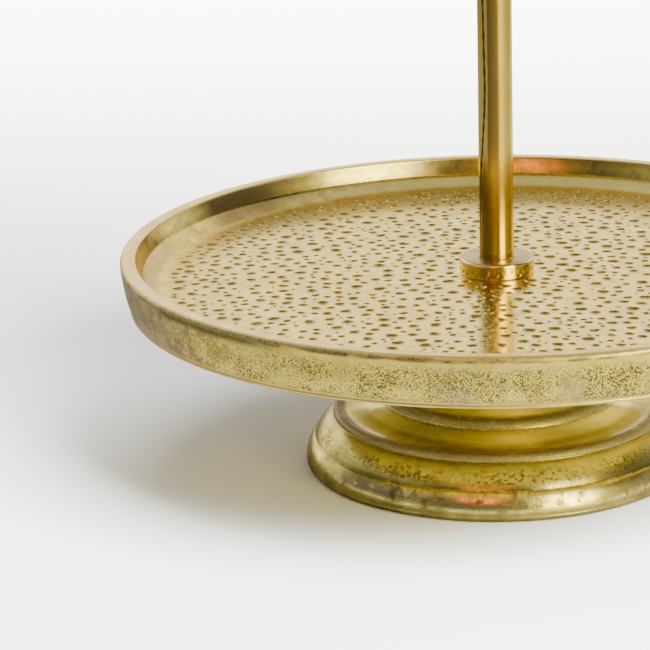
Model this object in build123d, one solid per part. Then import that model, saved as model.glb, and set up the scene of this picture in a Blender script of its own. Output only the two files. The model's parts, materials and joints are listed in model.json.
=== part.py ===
from build123d import *

import math
import os

# Two-tier cake stand: a turned, cast foot carries a large cast plate, a tube stem stands on that
# plate, and a smaller plate, a second tube and a ring handle screw on above it.
# Millimetres. Z is the stem's axis, pointing up, and the pads under the foot rest on z = 0.

# Whole stand
LOWER_FLOOR_Z = 91.0
TIER_GAP = 190.0
LOWER_PLATE_RADIUS = 175.0
UPPER_PLATE_RADIUS = 125.0
UPPER_STEM_LENGTH = 115.0

# Both plates: the rim rises above the floor, and a skirt hangs below it
FLOOR_THICKNESS = 4.5
RIM_RISE = 13.3
RIM_WIDTH = 6.7
RIM_ROUND = 2.0
COVE_WIDTH = 21.0
SKIRT_DROP = 10.3
SKIRT_DRAFT = 4.1
SKIRT_THICKNESS = 5.6
BOSS_DEPTH = 2.0
LOWER_BOSS_RADIUS = 34.0
UPPER_BOSS_RADIUS = 24.0

# Foot, from the floor up
PAD_THICKNESS = 0.8
PAD_RADIUS = 4.5
PAD_COUNT = 4
PAD_CIRCLE_RADIUS = 83.5
FOOT_RADIUS = 91.0
FOOT_WIDEST_Z = 2.8
FOOT_EDGE = 1.0
FOOT_SIDE_RADIUS = 90.1
FOOT_SIDE_Z = 8.2
FOOT_STEP = 0.8
BAND_RADIUS = 86.8
BAND_Z = 13.4
BAND_SWELL = 0.6
LOWER_LEDGE_RADIUS = 77.9
LOWER_LEDGE_Z = 24.2
UPPER_LEDGE_RADIUS = 54.8
UPPER_LEDGE_Z = 31.9
LEDGE_SIZE = 2.9
COVE_RADIUS = 31.0
COVE_Z = 47.0
WAIST_RADIUS = 24.5
WAIST_Z = 64.0
THROAT_RADIUS = 25.4
THROAT_Z = 71.0
FOOT_TOP_RADIUS = 30.0
FOOT_BEAD_HEIGHT = 5.0
FOOT_WEB = 12.0
FOOT_WELL_RADIUS = 17.0
GASKET_THICKNESS = 1.0

# Stem tubes and the collars on them
TUBE_RADIUS = 8.0
TUBE_BORE_RADIUS = 6.5
SLIP_GAP = 0.05
LOWER_COLLAR_RADIUS = 17.25
UPPER_COLLAR_RADIUS = 15.0
COLLAR_HEIGHT = 7.6
COLLAR_ROUND = 1.8
SUPPORT_RADIUS = 20.0
SUPPORT_HEIGHT = 12.0
PLUG_LENGTH = 16.0

# Screws: M8 through the plates and M6 in the handle, drawn at their outside diameter
M8_RADIUS = 3.95
M8_THREAD_RADIUS = 4.0
M8_CLEARANCE_RADIUS = 4.5
M6_RADIUS = 2.95
M6_THREAD_RADIUS = 3.0
M6_CLEARANCE_RADIUS = 3.3
BOLT_HEAD_WIDTH = 13.0
BOLT_HEAD_HEIGHT = 5.5
BOLT_REACH = 14.0
FLAT_WASHER_RADIUS = 12.0
FLAT_WASHER_THICKNESS = 1.6
LOCK_WASHER_RADIUS = 6.8
LOCK_WASHER_THICKNESS = 2.0
THIN_WASHER_THICKNESS = 0.8
STUD_ENGAGEMENT = 10.0
STUD_HOLD = 14.0
HANDLE_STUD_ENGAGEMENT = 8.0

# Ring handle
FERRULE_RADIUS = 12.0
FERRULE_HEIGHT = 7.0
RING_RADIUS = 30.0
RING_WIRE_RADIUS = 4.6
RING_BOSS_RADIUS = 7.0
RING_BOSS_HEIGHT = 6.0
HANDLE_STUD_HOLD = 6.0

# Heights that follow from the stack, from the bottom up
FOOT_TOP_Z = LOWER_FLOOR_Z - FLOOR_THICKNESS - BOSS_DEPTH - GASKET_THICKNESS
FOOT_WEB_Z = FOOT_TOP_Z - FOOT_WEB
FLAT_WASHER_Z = FOOT_WEB_Z - FLAT_WASHER_THICKNESS
LOCK_WASHER_Z = FLAT_WASHER_Z - LOCK_WASHER_THICKNESS
UPPER_FLOOR_Z = LOWER_FLOOR_Z + TIER_GAP
SUPPORT_TOP_Z = UPPER_FLOOR_Z - FLOOR_THICKNESS - BOSS_DEPTH - GASKET_THICKNESS
UPPER_STEM_Z = UPPER_FLOOR_Z + THIN_WASHER_THICKNESS
UPPER_STEM_TOP_Z = UPPER_STEM_Z + UPPER_STEM_LENGTH
FERRULE_Z = UPPER_STEM_TOP_Z + THIN_WASHER_THICKNESS
RING_BOSS_Z = FERRULE_Z + FERRULE_HEIGHT
RING_CENTRE_Z = RING_BOSS_Z + RING_BOSS_HEIGHT - 1.0 + RING_RADIUS


def turned(start, *steps):
    """A solid of revolution about Z, from a closed outline of (radius, height) points.

    A step is the next corner, or a pair of points: the middle and the end of an arc.
    """
    edges = []
    last = start
    for step in (*steps, start):
        if isinstance(step[0], tuple):
            middle, end = step
            edges.append(ThreePointArc(*(Vector(r, 0, z) for r, z in (last, middle, end))))
            last = end
        else:
            edges.append(Line(Vector(last[0], 0, last[1]), Vector(step[0], 0, step[1])))
            last = step
    return revolve(Face(Wire(edges)), Axis.Z, 360)


def washer(bottom_z, thickness, radius, hole_radius):
    """A flat ring about Z."""
    top_z = bottom_z + thickness
    return turned((hole_radius, bottom_z), (radius, bottom_z), (radius, top_z), (hole_radius, top_z))


def threaded_rod(bottom_z, top_z, radius):
    """A stud with a 45 degree chamfer at both ends."""
    lead = 1.0
    return turned(
        (0, bottom_z),
        (radius - lead, bottom_z),
        (radius, bottom_z + lead),
        (radius, top_z - lead),
        (radius - lead, top_z),
        (0, top_z),
    )


def foot_casting():
    """The stepped pedestal: a hollow casting with a thick web at the top for the bolt."""
    bottom = PAD_THICKNESS
    base_ring = [
        (FOOT_RADIUS - FOOT_EDGE, bottom),
        ((FOOT_RADIUS - 0.25 * FOOT_EDGE, bottom + 0.4 * FOOT_EDGE), (FOOT_RADIUS, FOOT_WIDEST_Z)),
        ((FOOT_SIDE_RADIUS, FOOT_SIDE_Z), (BAND_RADIUS + FOOT_STEP, BAND_Z - 0.75 * FOOT_STEP)),
    ]
    band_middle = (
        (BAND_RADIUS + LOWER_LEDGE_RADIUS) / 2 + BAND_SWELL,
        (BAND_Z + LOWER_LEDGE_Z) / 2 + BAND_SWELL,
    )
    band = [
        (BAND_RADIUS, BAND_Z),
        (band_middle, (LOWER_LEDGE_RADIUS, LOWER_LEDGE_Z)),
    ]
    lower_ledge_top = LOWER_LEDGE_Z + LEDGE_SIZE
    ledges = [
        (
            (LOWER_LEDGE_RADIUS - 0.2 * LEDGE_SIZE, LOWER_LEDGE_Z + 0.75 * LEDGE_SIZE),
            (LOWER_LEDGE_RADIUS - LEDGE_SIZE, lower_ledge_top),
        ),
        (
            (UPPER_LEDGE_RADIUS + 7.5, lower_ledge_top + 0.5),
            (UPPER_LEDGE_RADIUS, UPPER_LEDGE_Z),
        ),
        (
            (UPPER_LEDGE_RADIUS - 0.2 * LEDGE_SIZE, UPPER_LEDGE_Z + 0.7 * LEDGE_SIZE),
            (UPPER_LEDGE_RADIUS - 1.2 * LEDGE_SIZE, UPPER_LEDGE_Z + LEDGE_SIZE),
        ),
    ]
    bead_z = FOOT_TOP_Z - FOOT_BEAD_HEIGHT
    neck = [
        ((COVE_RADIUS, COVE_Z), (WAIST_RADIUS, WAIST_Z)),
        ((THROAT_RADIUS, THROAT_Z), (FOOT_TOP_RADIUS - 1.8, bead_z)),
        (
            (FOOT_TOP_RADIUS, bead_z + 0.5 * FOOT_BEAD_HEIGHT),
            (FOOT_TOP_RADIUS - 1.2, FOOT_TOP_Z),
        ),
    ]
    web_hole = [
        (M8_CLEARANCE_RADIUS, FOOT_TOP_Z),
        (M8_CLEARANCE_RADIUS, FOOT_WEB_Z),
    ]
    inside = [
        (FOOT_WELL_RADIUS, FOOT_WEB_Z),
        (FOOT_WELL_RADIUS + 0.5, WAIST_Z - 4.0),
        (
            (COVE_RADIUS - 6.5, COVE_Z - 2.5),
            (UPPER_LEDGE_RADIUS - 9.0, UPPER_LEDGE_Z - 1.0),
        ),
        (UPPER_LEDGE_RADIUS - 3.0, LOWER_LEDGE_Z - 1.0),
        (LOWER_LEDGE_RADIUS - 7.0, LOWER_LEDGE_Z - 4.5),
        ((LOWER_LEDGE_RADIUS + 0.5, BAND_Z - 0.9), (FOOT_RADIUS - 12.0, bottom)),
    ]
    return turned(*base_ring, *band, *ledges, *neck, *web_hole, *inside)


def foot_pads():
    """Round anti-slip pads, evenly spaced under the foot's rim."""
    pad = Pos(PAD_CIRCLE_RADIUS, 0, PAD_THICKNESS / 2) * Cylinder(PAD_RADIUS, PAD_THICKNESS)
    turn = 360 / PAD_COUNT
    return [Rot(0, 0, turn * (i + 0.5)) * pad for i in range(PAD_COUNT)]


def base_bolt():
    """The hex bolt that clamps the foot and the lower plate to the stem."""
    head_bottom = LOCK_WASHER_Z - BOLT_HEAD_HEIGHT
    hexagon = RegularPolygon(BOLT_HEAD_WIDTH / 2, 6, major_radius=False)
    head = Pos(0, 0, head_bottom) * extrude(hexagon, BOLT_HEAD_HEIGHT)
    corner = BOLT_HEAD_WIDTH / math.sqrt(3)
    rounding = turned(
        (0, head_bottom),
        (corner - 1.2, head_bottom),
        (corner + 0.1, head_bottom + 0.8),
        (corner + 0.1, LOCK_WASHER_Z),
        (0, LOCK_WASHER_Z),
    )
    shank = threaded_rod(LOCK_WASHER_Z - 1.0, LOWER_FLOOR_Z + BOLT_REACH, M8_RADIUS)
    return (head & rounding) + shank


def lock_washer():
    """A split spring washer, pressed flat."""
    ring = washer(LOCK_WASHER_Z, LOCK_WASHER_THICKNESS, LOCK_WASHER_RADIUS, M8_RADIUS + 0.25)
    middle_z = LOCK_WASHER_Z + LOCK_WASHER_THICKNESS / 2
    split = Pos(LOCK_WASHER_RADIUS, 0, middle_z) * Rot(25, 0, 0) * Box(8.0, 0.8, 6.0)
    return ring - split


def plate(radius, floor_z, boss_radius):
    """A cast plate: flat floor, cove, sloping inner wall, flat rim and a tapered outer skirt."""
    rim_z = floor_z + RIM_RISE
    under_z = floor_z - FLOOR_THICKNESS
    skirt_z = floor_z - SKIRT_DROP
    rim_inner = radius - RIM_WIDTH
    skirt_outer = radius - SKIRT_DRAFT
    skirt_inner = skirt_outer - SKIRT_THICKNESS
    return turned(
        (M8_CLEARANCE_RADIUS, floor_z),
        (radius - COVE_WIDTH, floor_z),
        ((rim_inner - 8.3, floor_z + 1.3), (rim_inner - 3.2, floor_z + 5.2)),
        (rim_inner - 0.4, rim_z - 0.9),
        ((rim_inner - 0.1, rim_z - 0.2), (rim_inner + 0.6, rim_z)),
        (radius - RIM_ROUND, rim_z),
        (
            (radius - 0.29 * RIM_ROUND, rim_z - 0.29 * RIM_ROUND),
            (radius, rim_z - RIM_ROUND),
        ),
        ((radius - 1.6, floor_z), (skirt_outer, skirt_z + 1.0)),
        (skirt_outer - 1.0, skirt_z),
        (skirt_inner + 0.6, skirt_z),
        (skirt_inner, skirt_z + 0.6),
        (skirt_inner - 0.8, under_z - 2.0),
        ((skirt_inner - 1.5, under_z - 0.6), (skirt_inner - 2.8, under_z)),
        (boss_radius + BOSS_DEPTH, under_z),
        (boss_radius, under_z - BOSS_DEPTH),
        (M8_CLEARANCE_RADIUS, under_z - BOSS_DEPTH),
    )


def stem_collar(bottom_z, radius):
    """The round-edged collar that spreads the stem's load on a plate's floor."""
    bore = TUBE_RADIUS + SLIP_GAP
    top_z = bottom_z + COLLAR_HEIGHT
    corner = 0.29 * COLLAR_ROUND
    return turned(
        (bore, bottom_z),
        (radius - 0.5, bottom_z),
        (radius, bottom_z + 0.5),
        (radius, top_z - COLLAR_ROUND),
        ((radius - corner, top_z - corner), (radius - COLLAR_ROUND, top_z)),
        (bore + 0.6, top_z),
        (bore, top_z - 0.6),
    )


def support_collar():
    """The flared collar at the top of the lower stem, under the upper plate."""
    bore = TUBE_RADIUS + SLIP_GAP
    bottom_z = SUPPORT_TOP_Z - SUPPORT_HEIGHT
    return turned(
        (bore, bottom_z),
        (bore + 2.4, bottom_z),
        ((bore + 3.6, bottom_z + 1.3), (bore + 2.6, bottom_z + 2.6)),
        ((bore + 4.6, bottom_z + 7.0), (SUPPORT_RADIUS - 1.0, SUPPORT_TOP_Z - 3.0)),
        ((SUPPORT_RADIUS, SUPPORT_TOP_Z - 1.5), (SUPPORT_RADIUS - 0.6, SUPPORT_TOP_Z)),
        (bore, SUPPORT_TOP_Z),
    )


def tube(bottom_z, top_z):
    """A length of stem tube."""
    return washer(bottom_z, top_z - bottom_z, TUBE_RADIUS, TUBE_BORE_RADIUS)


def threaded_plug(bottom_z, thread_radius):
    """The tapped plug fixed in the end of a stem tube."""
    return washer(bottom_z, PLUG_LENGTH, TUBE_BORE_RADIUS - SLIP_GAP, thread_radius)


def handle_ferrule():
    """The turned bead between the upper stem and the ring."""
    top_z = FERRULE_Z + FERRULE_HEIGHT
    return turned(
        (M6_THREAD_RADIUS, FERRULE_Z),
        (TUBE_RADIUS + 1.2, FERRULE_Z),
        (TUBE_RADIUS + 1.2, FERRULE_Z + 1.2),
        (
            (FERRULE_RADIUS, FERRULE_Z + 3.6),
            (TUBE_RADIUS + 0.6, top_z - 1.0),
        ),
        (TUBE_RADIUS + 0.6, top_z),
        (M6_THREAD_RADIUS, top_z),
    )


def ring_handle():
    """A round ring standing on a short boss with a blind tapped hole."""
    ring = Pos(0, 0, RING_CENTRE_Z) * Rot(90, 0, 0) * Torus(RING_RADIUS, RING_WIRE_RADIUS)
    top_z = RING_BOSS_Z + RING_BOSS_HEIGHT
    boss = turned(
        (0, RING_BOSS_Z),
        (RING_BOSS_RADIUS, RING_BOSS_Z),
        (RING_BOSS_RADIUS, RING_BOSS_Z + 1.5),
        ((RING_BOSS_RADIUS - 1.7, RING_BOSS_Z + 3.2), (RING_BOSS_RADIUS - 1.4, top_z)),
        (0, top_z),
    )
    hole_depth = HANDLE_STUD_HOLD + 0.5
    hole = Pos(0, 0, RING_BOSS_Z + hole_depth / 2) * Cylinder(M6_THREAD_RADIUS, hole_depth)
    return ring + boss - hole


def sub_parts():
    """Every node of the stand, from the bottom up, with its solid or list of solids."""
    thin = THIN_WASHER_THICKNESS
    flat_washer = washer(
        FLAT_WASHER_Z, FLAT_WASHER_THICKNESS, FLAT_WASHER_RADIUS, M8_CLEARANCE_RADIUS
    )
    foot_gasket = washer(FOOT_TOP_Z, GASKET_THICKNESS, FOOT_TOP_RADIUS - 3.0, M8_CLEARANCE_RADIUS)
    plate_gasket = washer(
        SUPPORT_TOP_Z, GASKET_THICKNESS, SUPPORT_RADIUS - 2.0, M8_CLEARANCE_RADIUS
    )
    joining_stud = threaded_rod(
        SUPPORT_TOP_Z - STUD_ENGAGEMENT, UPPER_STEM_Z + STUD_HOLD, M8_RADIUS
    )
    handle_stud = threaded_rod(
        UPPER_STEM_TOP_Z - HANDLE_STUD_ENGAGEMENT, RING_BOSS_Z + HANDLE_STUD_HOLD, M6_RADIUS
    )
    return {
        "foot_pads": foot_pads(),
        "foot_casting": foot_casting(),
        "base_bolt": base_bolt(),
        "base_lock_washer": lock_washer(),
        "base_flat_washer": flat_washer,
        "foot_gasket": foot_gasket,
        "lower_plate": plate(LOWER_PLATE_RADIUS, LOWER_FLOOR_Z, LOWER_BOSS_RADIUS),
        "lower_collar": stem_collar(LOWER_FLOOR_Z, LOWER_COLLAR_RADIUS),
        "lower_stem_tube": tube(LOWER_FLOOR_Z, SUPPORT_TOP_Z),
        "lower_stem_bottom_plug": threaded_plug(LOWER_FLOOR_Z, M8_THREAD_RADIUS),
        "lower_stem_top_plug": threaded_plug(SUPPORT_TOP_Z - PLUG_LENGTH, M8_THREAD_RADIUS),
        "support_collar": support_collar(),
        "upper_plate_gasket": plate_gasket,
        "upper_plate": plate(UPPER_PLATE_RADIUS, UPPER_FLOOR_Z, UPPER_BOSS_RADIUS),
        "upper_collar_washer": washer(
            UPPER_FLOOR_Z, thin, UPPER_COLLAR_RADIUS - 1.5, M8_CLEARANCE_RADIUS
        ),
        "upper_collar": stem_collar(UPPER_STEM_Z, UPPER_COLLAR_RADIUS),
        "upper_stem_tube": tube(UPPER_STEM_Z, UPPER_STEM_TOP_Z),
        "upper_stem_bottom_plug": threaded_plug(UPPER_STEM_Z, M8_THREAD_RADIUS),
        "joining_stud": joining_stud,
        "upper_stem_top_plug": threaded_plug(UPPER_STEM_TOP_Z - PLUG_LENGTH, M6_THREAD_RADIUS),
        "handle_washer": washer(UPPER_STEM_TOP_Z, thin, TUBE_RADIUS + 0.6, M6_CLEARANCE_RADIUS),
        "handle_ferrule": handle_ferrule(),
        "handle_stud": handle_stud,
        "ring_handle": ring_handle(),
    }


os.makedirs("parts", exist_ok=True)
for node, shape in sub_parts().items():
    solids = shape if isinstance(shape, list) else [shape]
    export_step(Compound(children=solids) if len(solids) > 1 else solids[0], f"parts/{node}.step")
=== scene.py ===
import json
import math
import random
from functools import reduce

import bmesh
import bpy
import numpy as np
from mathutils import Matrix, Vector
from mathutils.geometry import delaunay_2d_cdt

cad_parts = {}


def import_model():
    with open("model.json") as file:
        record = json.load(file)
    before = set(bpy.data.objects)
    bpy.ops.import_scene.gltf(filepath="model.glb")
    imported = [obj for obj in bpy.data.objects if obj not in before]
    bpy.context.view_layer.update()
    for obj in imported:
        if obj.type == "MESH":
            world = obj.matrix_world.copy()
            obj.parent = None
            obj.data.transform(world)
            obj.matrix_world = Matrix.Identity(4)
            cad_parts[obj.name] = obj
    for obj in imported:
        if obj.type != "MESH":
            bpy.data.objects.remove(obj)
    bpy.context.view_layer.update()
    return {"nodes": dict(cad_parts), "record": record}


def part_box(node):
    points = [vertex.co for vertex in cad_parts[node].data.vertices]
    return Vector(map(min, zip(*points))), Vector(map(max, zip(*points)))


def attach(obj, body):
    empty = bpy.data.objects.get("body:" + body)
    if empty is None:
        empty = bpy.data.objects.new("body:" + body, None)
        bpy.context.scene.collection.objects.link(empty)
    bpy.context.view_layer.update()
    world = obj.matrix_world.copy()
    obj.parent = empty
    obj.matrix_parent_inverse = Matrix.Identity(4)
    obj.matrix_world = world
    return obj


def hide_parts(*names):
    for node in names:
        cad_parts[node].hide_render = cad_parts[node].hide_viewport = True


# The looks of a two-tier cake stand in antique gold metal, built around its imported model.
# Outlines are millimetres in (radius, height), and meshes are metres. +Z is up the stem.

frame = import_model()
RECORD = frame["record"]

MM = 0.001
TAU = 2 * math.pi
SEED = 1907
FINISHED = "_finished"

# Both plates, as heights above the floor of the plate and distances in from its radius
RIM_RISE = 13.3
RIM_WIDTH = 6.7
RIM_ROUND = 2.0
COVE_WIDTH = 21.0
SKIRT_DROP = 10.3
SKIRT_DRAFT = 4.1
SKIRT_THICKNESS = 5.6
FLOOR_THICKNESS = 4.5
BOSS_DEPTH = 2.0
HOLE_RADIUS = 4.5
# How high the floor lies on a plate: 0 is the skirt's lower edge, and 1 is the top of the rim
FLOOR_LEVEL = SKIRT_DROP / (RIM_RISE + SKIRT_DROP)

# Pits in the plates' floors: (share of all pits, mean radius, outline points, depth over radius)
PIT_SIZES = (
    (0.38, 2.85, 14, 0.30),
    (0.34, 2.20, 12, 0.32),
    (0.28, 1.30, 8, 0.38),
)
PIT_AREA = 49.0
PIT_GAP = 0.3
# The rings of a pit with so many outline points: (share of its radius, share of its depth)
PIT_RINGS = {
    14: ((1.0, 0.0), (0.90, 0.45), (0.70, 0.80), (0.42, 0.97)),
    12: ((1.0, 0.0), (0.88, 0.50), (0.62, 0.90)),
    8: ((1.0, 0.0), (0.75, 0.75)),
}

# Angles about Z of the tubes' rolled seams, and the size of a seam's groove
SEAM_ANGLE = math.radians(-134.6)
SEAM_DEPTH = 0.28
SEAM_WIDTH = 0.75
# How far the seam turns about the tube over the lowest stretch of it, and that stretch
SEAM_TWIST = math.radians(42)
TWIST_HEIGHT = 88.0
# How far past the seam the middle of the tube's dark side lies, which is painted shade
SHADED_SIDE_TURN = math.radians(28)

# Where the duller outer part of a plate's floor starts, in from the radius, and its soft edge
DULL_START = 46.0
DULL_FADE = 24.0

# The collars' bore, the bolt's head, the pads, the threads and the ring
BORE = 8.05
BOLT_HEAD = 5.5
PAD_RADIUS = 4.5
COARSE_PITCH = 1.25
FINE_PITCH = 1.0
RING_WIRE = 4.6

# Corners of an outline that turn less than this stay as they are
SMOOTH_TURN = math.radians(22)
# How far the wear of an edge and the grime of a corner spread
WEAR_WIDTH = 0.5
GRIME_WIDTH = 1.6

# The tint of the gold where it is seen at a grazing angle
GOLD_EDGE = (1.0, 0.88, 0.70)
WHITE = (1.0, 1.0, 1.0)

# The floor's radii, and how far out and how high up its reflected cards lie
FLOOR_RADII = (0.0, 400.0, 1500.0, 9000.0)
CARD_REACH = 2600.0
CARD_HEIGHT = 2.0

# The camera: its place in radii of the lower plate, how far it looks down, its roll and its lens
CAMERA_PLACE = Vector((-0.4615, -7.6756, 2.7282))
CAMERA_DOWN = 0.2965
CAMERA_ROLL = -0.0277
CAMERA_LENS = 166.15


# --- Outlines ---


def arc(start, middle, end, step):
    """Points on the circle through three points, from just after start to end."""
    (ax, ay), (bx, by), (cx, cy) = start, middle, end
    double_area = 2 * (ax * (by - cy) + bx * (cy - ay) + cx * (ay - by))
    a, b, c = (x * x + y * y for x, y in (start, middle, end))
    ux = (a * (by - cy) + b * (cy - ay) + c * (ay - by)) / double_area
    uy = (a * (cx - bx) + b * (ax - cx) + c * (bx - ax)) / double_area
    radius = math.dist(start, (ux, uy))
    first = math.atan2(ay - uy, ax - ux)
    to_middle = (math.atan2(by - uy, bx - ux) - first) % TAU
    turn = (math.atan2(cy - uy, cx - ux) - first) % TAU
    if to_middle > turn:
        turn -= TAU
    count = max(4, math.ceil(abs(turn) * radius / step))
    angles = [first + turn * i / count for i in range(1, count + 1)]
    return [(ux + radius * math.cos(t), uy + radius * math.sin(t)) for t in angles]


def outline(start, *steps, step=0.9):
    """An outline from corners, and from (middle, end) pairs that are arcs."""
    points = [start]
    for item in steps:
        if isinstance(item[0], tuple):
            points += arc(points[-1], *item, step)
        else:
            points.append(item)
    return points


def soften(points, radius, closed=True):
    """The outline with each sharp corner rounded by about radius."""
    result = []
    count = len(points)
    for i, point in enumerate(points):
        end = not closed and i in (0, count - 1)
        here = Vector(point)
        before = here - Vector(points[i - 1])
        after = Vector(points[(i + 1) % count]) - here
        if end or point[0] < 1e-6 or before.angle(after, 0.0) < SMOOTH_TURN:
            result.append(point)
            continue
        cut = min(radius, 0.4 * before.length, 0.4 * after.length)
        a = here - before.normalized() * cut
        b = here + after.normalized() * cut
        for t in (0.0, 0.25, 0.5, 0.75, 1.0):
            result.append(tuple(a * (1 - t) ** 2 + here * 2 * t * (1 - t) + b * t * t))
    return result


def divide(points, support=0.35, gap=6.0, closed=True):
    """The outline with extra points on its long straight stretches, two of them near the ends."""
    result = []
    pairs = zip(points, points[1:] + points[:1]) if closed else zip(points, points[1:])
    for start, end in pairs:
        result.append(start)
        length = math.dist(start, end)
        if length > 3 * support and max(start[0], end[0]) > 1e-6:
            inner = max(1, math.ceil((length - 2 * support) / gap))
            stops = [support + (length - 2 * support) * i / inner for i in range(inner + 1)]
            for stop in stops:
                t = stop / length
                result.append(tuple(p + (q - p) * t for p, q in zip(start, end)))
    if not closed:
        result.append(points[-1])
    return result


def bend(points, closed=True):
    """How sharply the outline turns at each point, per mm: above 0 where it is convex."""
    pts = np.array(points)
    before = pts - np.roll(pts, 1, axis=0)
    after = np.roll(pts, -1, axis=0) - pts
    cross = before[:, 0] * after[:, 1] - before[:, 1] * after[:, 0]
    dot = (before * after).sum(1)
    length = (np.linalg.norm(before, axis=1) + np.linalg.norm(after, axis=1)) / 2
    turn = np.arctan2(cross, dot) / np.maximum(length, 1e-6)
    area = (pts[:, 0] * np.roll(pts[:, 1], -1) - pts[:, 1] * np.roll(pts[:, 0], -1)).sum()
    turn *= np.sign(area)
    if not closed:
        turn[[0, -1]] = 0
    return turn


# --- Meshes ---


def make_object(name, verts, faces):
    """A smooth-shaded mesh object from points in mm, with its faces turned outwards."""
    mesh = bpy.data.meshes.new(name)
    mesh.from_pydata([tuple(v) for v in np.asarray(verts) * MM], [], faces)
    work = bmesh.new()
    work.from_mesh(mesh)
    bmesh.ops.recalc_face_normals(work, faces=work.faces)
    work.to_mesh(mesh)
    work.free()
    mesh.shade_smooth()
    obj = bpy.data.objects.new(name, mesh)
    bpy.context.scene.collection.objects.link(obj)
    return obj


def paint(obj, name, values):
    """Stores one number for each vertex, which materials read by that name."""
    layer = obj.data.attributes.new(name, "FLOAT", "POINT")
    layer.data.foreach_set("value", np.asarray(values, np.float32))


def ring_grid(points, segments, shape=None):
    """Turns an outline about Z: the points, and the index of each (outline point, segment)."""
    pts = np.array(points)
    angle = np.arange(segments) * TAU / segments
    radius = np.repeat(pts[:, :1], segments, axis=1)
    height = np.repeat(pts[:, 1:], segments, axis=1)
    angle = np.repeat(angle[None, :], len(pts), axis=0)
    if shape:
        radius, height = shape(radius, height, angle)
    poles = pts[:, 0] < 1e-6
    grid = np.stack([radius * np.cos(angle), radius * np.sin(angle), height], axis=2)
    verts = []
    index = np.zeros((len(pts), segments), int)
    for i, pole in enumerate(poles):
        if pole:
            index[i] = len(verts)
            verts.append((0.0, 0.0, float(height[i, 0])))
        else:
            index[i] = np.arange(len(verts), len(verts) + segments)
            verts.extend(grid[i])
    return verts, index


def ring_faces(index, closed=True):
    """The faces between neighbouring rings of a grid, with triangles at the poles."""
    faces = []
    rows, segments = index.shape
    for i in range(rows if closed else rows - 1):
        lower, upper = index[i], index[(i + 1) % rows]
        for k in range(segments):
            n = (k + 1) % segments
            corners = list(dict.fromkeys((lower[k], lower[n], upper[n], upper[k])))
            if len(corners) > 2:
                faces.append([int(c) for c in corners])
    return faces


def paint_edges(obj, points, index, closed=True):
    """Marks convex edges as worn and concave corners as grimy, over a little width."""
    turn = bend(points, closed)
    pts = np.array(points)
    away = np.linalg.norm(pts[:, None] - pts[None], axis=2)
    near = np.exp(-((away / WEAR_WIDTH) ** 2))
    wear = (near * np.clip(turn * 1.3, 0, 1)[None]).max(1)
    near = np.exp(-((away / GRIME_WIDTH) ** 2))
    grime = (near * np.clip(-turn * 1.6, 0, 1)[None]).max(1)
    for name, rows in (("wear", wear), ("grime", grime)):
        values = np.zeros(len(obj.data.vertices))
        values[index] = rows[:, None]
        paint(obj, name, values)


def turned(node, points, segments=128, shape=None, soft=0.3, gap=6.0):
    """A closed outline turned about Z, with softened corners and its edges painted."""
    points = divide(soften(points, soft), gap=gap)
    verts, index = ring_grid(points, segments, shape)
    obj = make_object(node + FINISHED, verts, ring_faces(index))
    paint_edges(obj, points, index)
    return obj


def measure(node):
    """The bottom, the top and the radius of a node, in mm."""
    low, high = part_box(node)
    return low.z / MM, high.z / MM, high.x / MM


def hand_made(seed, amount):
    """A shape function that lets a casting run slightly out of round, inwards only."""
    rng = random.Random(seed)
    waves = [(k, rng.uniform(0, TAU), rng.uniform(0.4, 1.0)) for k in (2, 3, 5, 7, 11)]
    total = sum(w for _, _, w in waves)

    def shape(radius, height, angle):
        low = sum(w * np.sin(k * angle + p + 0.02 * height) for k, p, w in waves) / total
        return radius - amount * (low + 1) / 2 * (radius > 2 * HOLE_RADIUS), height

    return shape


# --- Plates ---


def scatter_pits(inner, outer, seed):
    """Places pits that don't touch: (x, y, radius, points, depth, outline's two phases, squash)."""
    rng = random.Random(seed)
    total = math.pi * (outer**2 - inner**2) / PIT_AREA
    placed = np.zeros((0, 3))
    pits = []
    for share, mean, points, depth in PIT_SIZES:
        for _ in range(round(total * share)):
            radius = mean * rng.uniform(0.8, 1.25)
            for _ in range(60):
                r = math.sqrt(rng.uniform(inner**2, (outer - 1.1 * radius) ** 2))
                thin = rng.random() < 0.4 * max(0.0, (r - outer + 18) / 18)
                t = rng.uniform(0, TAU)
                x, y = r * math.cos(t), r * math.sin(t)
                away = np.hypot(placed[:, 0] - x, placed[:, 1] - y) - placed[:, 2]
                if not thin and (len(placed) == 0 or away.min() > radius * 1.1 + PIT_GAP):
                    placed = np.vstack([placed, (x, y, radius * 1.1)])
                    phases = (rng.uniform(0, TAU), rng.uniform(0, TAU), rng.uniform(0.72, 1.0))
                    pits.append((x, y, radius, points, depth * radius, phases))
                    break
    return pits


def pit_rings(pit, floor_z):
    """The rings of one pit, from its lip down to its bottom, and the centre point."""
    x, y, radius, count, depth, (turn, wobble, squash) = pit
    rings = []
    for level, drop in PIT_RINGS[count]:
        ring = []
        for i in range(count):
            t = TAU * i / count
            r = radius * level * (1 + 0.06 * math.sin(3 * t + wobble))
            px, py = r * math.cos(t), r * squash * math.sin(t)
            qx = px * math.cos(turn) - py * math.sin(turn)
            qy = px * math.sin(turn) + py * math.cos(turn)
            ring.append((x + qx, y + qy, floor_z - depth * drop))
        rings.append(ring)
    return rings, (x, y, floor_z - depth)


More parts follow.
